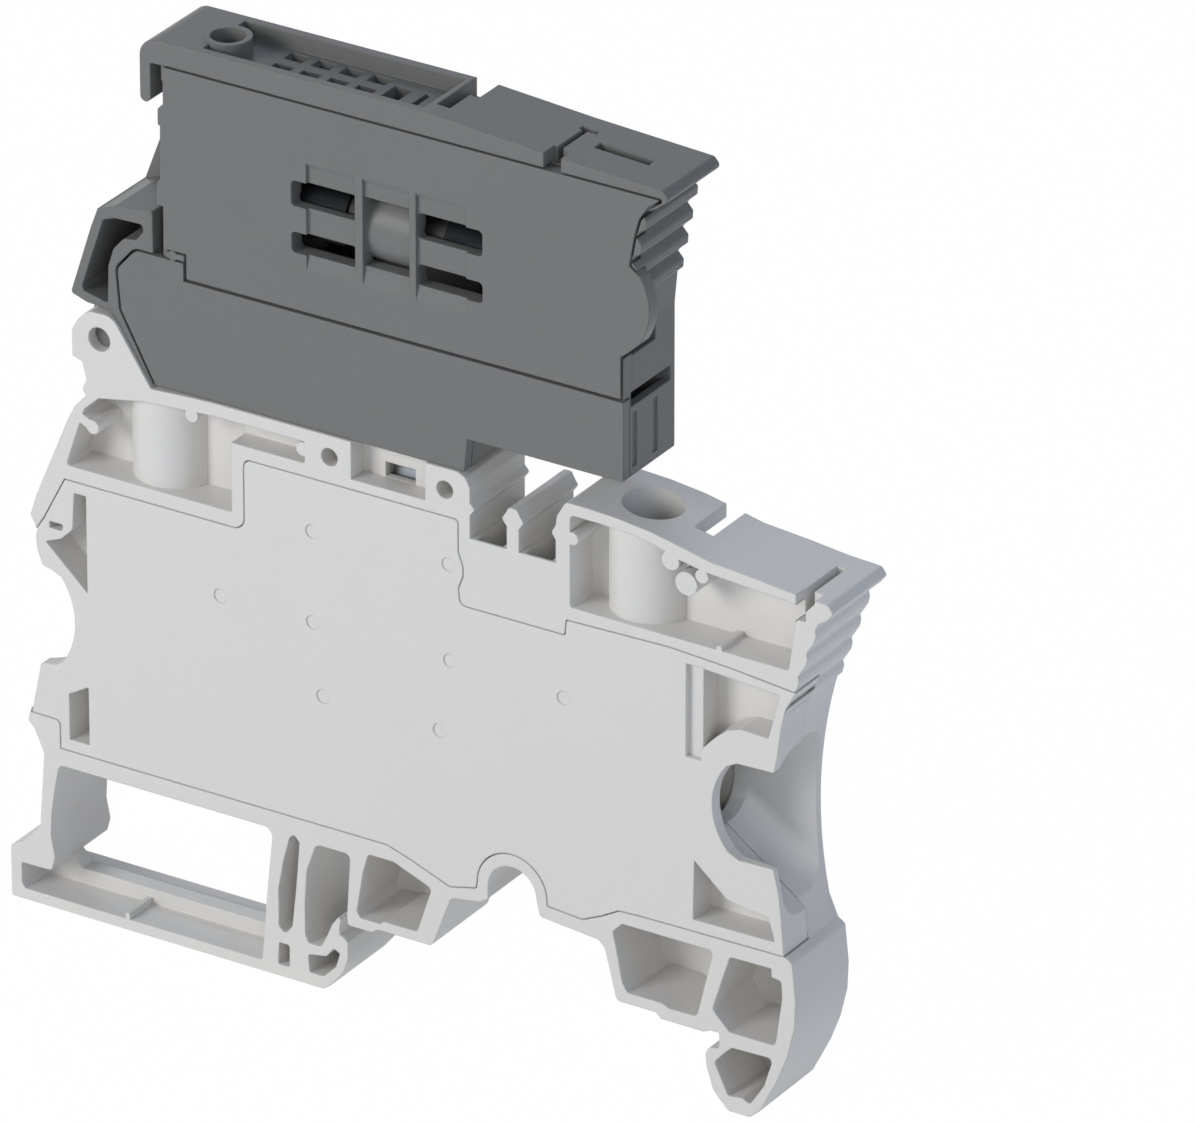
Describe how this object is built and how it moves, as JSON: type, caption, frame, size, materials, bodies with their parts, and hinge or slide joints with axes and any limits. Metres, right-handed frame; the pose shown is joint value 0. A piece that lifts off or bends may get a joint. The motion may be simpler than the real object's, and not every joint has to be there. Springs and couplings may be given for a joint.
{
  "type": "fuse terminal block",
  "caption": "Narrow rail-mounted terminal block with screw clamps at both ends, a dark pivoting fuse lever on top and slots for a cross connector.",
  "frame": {"origin": "middle of the 35 mm rail on its top face, in the middle of the block's thickness", "axes": "+X along the block from the springy foot towards the fixed foot, +Y across the block away from its covered side, +Z away from the rail"},
  "size_m": [0.0769, 0.008, 0.0795],
  "materials": {
    "light_grey_polyamide": "satin",
    "dark_grey_polyamide": "satin",
    "plated_steel": "satin",
    "tinned_copper": "satin",
    "nickel_plated_brass": "polished",
    "fuse_tube_glass": "polished"
  },
  "bodies": {
    "block": {"housing": "light_grey_polyamide", "side_cover": "light_grey_polyamide", "left_current_bar": "tinned_copper", "right_current_bar": "tinned_copper", "left_fork_contact": "tinned_copper", "right_fork_contact": "tinned_copper"},
    "lever": {"lever_frame": "dark_grey_polyamide", "lever_lower_cover": "dark_grey_polyamide", "fuse_glass": "fuse_tube_glass", "fuse_wire": "tinned_copper", "left_fuse_cap": "nickel_plated_brass", "right_fuse_cap": "nickel_plated_brass", "left_fuse_clip": "tinned_copper", "right_fuse_clip": "tinned_copper", "left_contact_strip": "tinned_copper", "right_contact_strip": "tinned_copper"},
    "door": {"fuse_door": "dark_grey_polyamide"},
    "left_cage": {"left_clamp_cage": "plated_steel"},
    "right_cage": {"right_clamp_cage": "plated_steel"},
    "left_screw": {"left_clamp_screw": "plated_steel"},
    "right_screw": {"right_clamp_screw": "plated_steel"}
  },
  "joints": [
    {"name": "lever_pivot", "type": "hinge", "parent": "block", "child": "lever", "pos_m": [-0.03983, 0, 0.0457], "axis": [0, -1, 0], "range_deg": [0, 95]},
    {"name": "door_hinge", "type": "hinge", "parent": "lever", "child": "door", "pos_m": [-0.03391, -0.00295, 0.0628], "axis": [0, 0, -1], "range_deg": [0, 90]},
    {"name": "left_cage_lift", "type": "slide", "parent": "block", "child": "left_cage", "axis": [0, 0, 1], "range_m": [0, 0.005]},
    {"name": "right_cage_lift", "type": "slide", "parent": "block", "child": "right_cage", "axis": [0, 0, 1], "range_m": [0, 0.005]},
    {"name": "left_screw_turn", "type": "hinge", "parent": "block", "child": "left_screw", "pos_m": [-0.0353, 0, 0.034], "axis": [0, 0, -1], "range_deg": [0, 2572]},
    {"name": "right_screw_turn", "type": "hinge", "parent": "block", "child": "right_screw", "pos_m": [0.0091, 0, 0.034], "axis": [0, 0, -1], "range_deg": [0, 2572]}
  ],
  "couplings": [
    {"joint": "left_screw_turn", "follows": "left_cage_lift", "rad_per_m": 8976},
    {"joint": "right_screw_turn", "follows": "right_cage_lift", "rad_per_m": 8976}
  ]
}
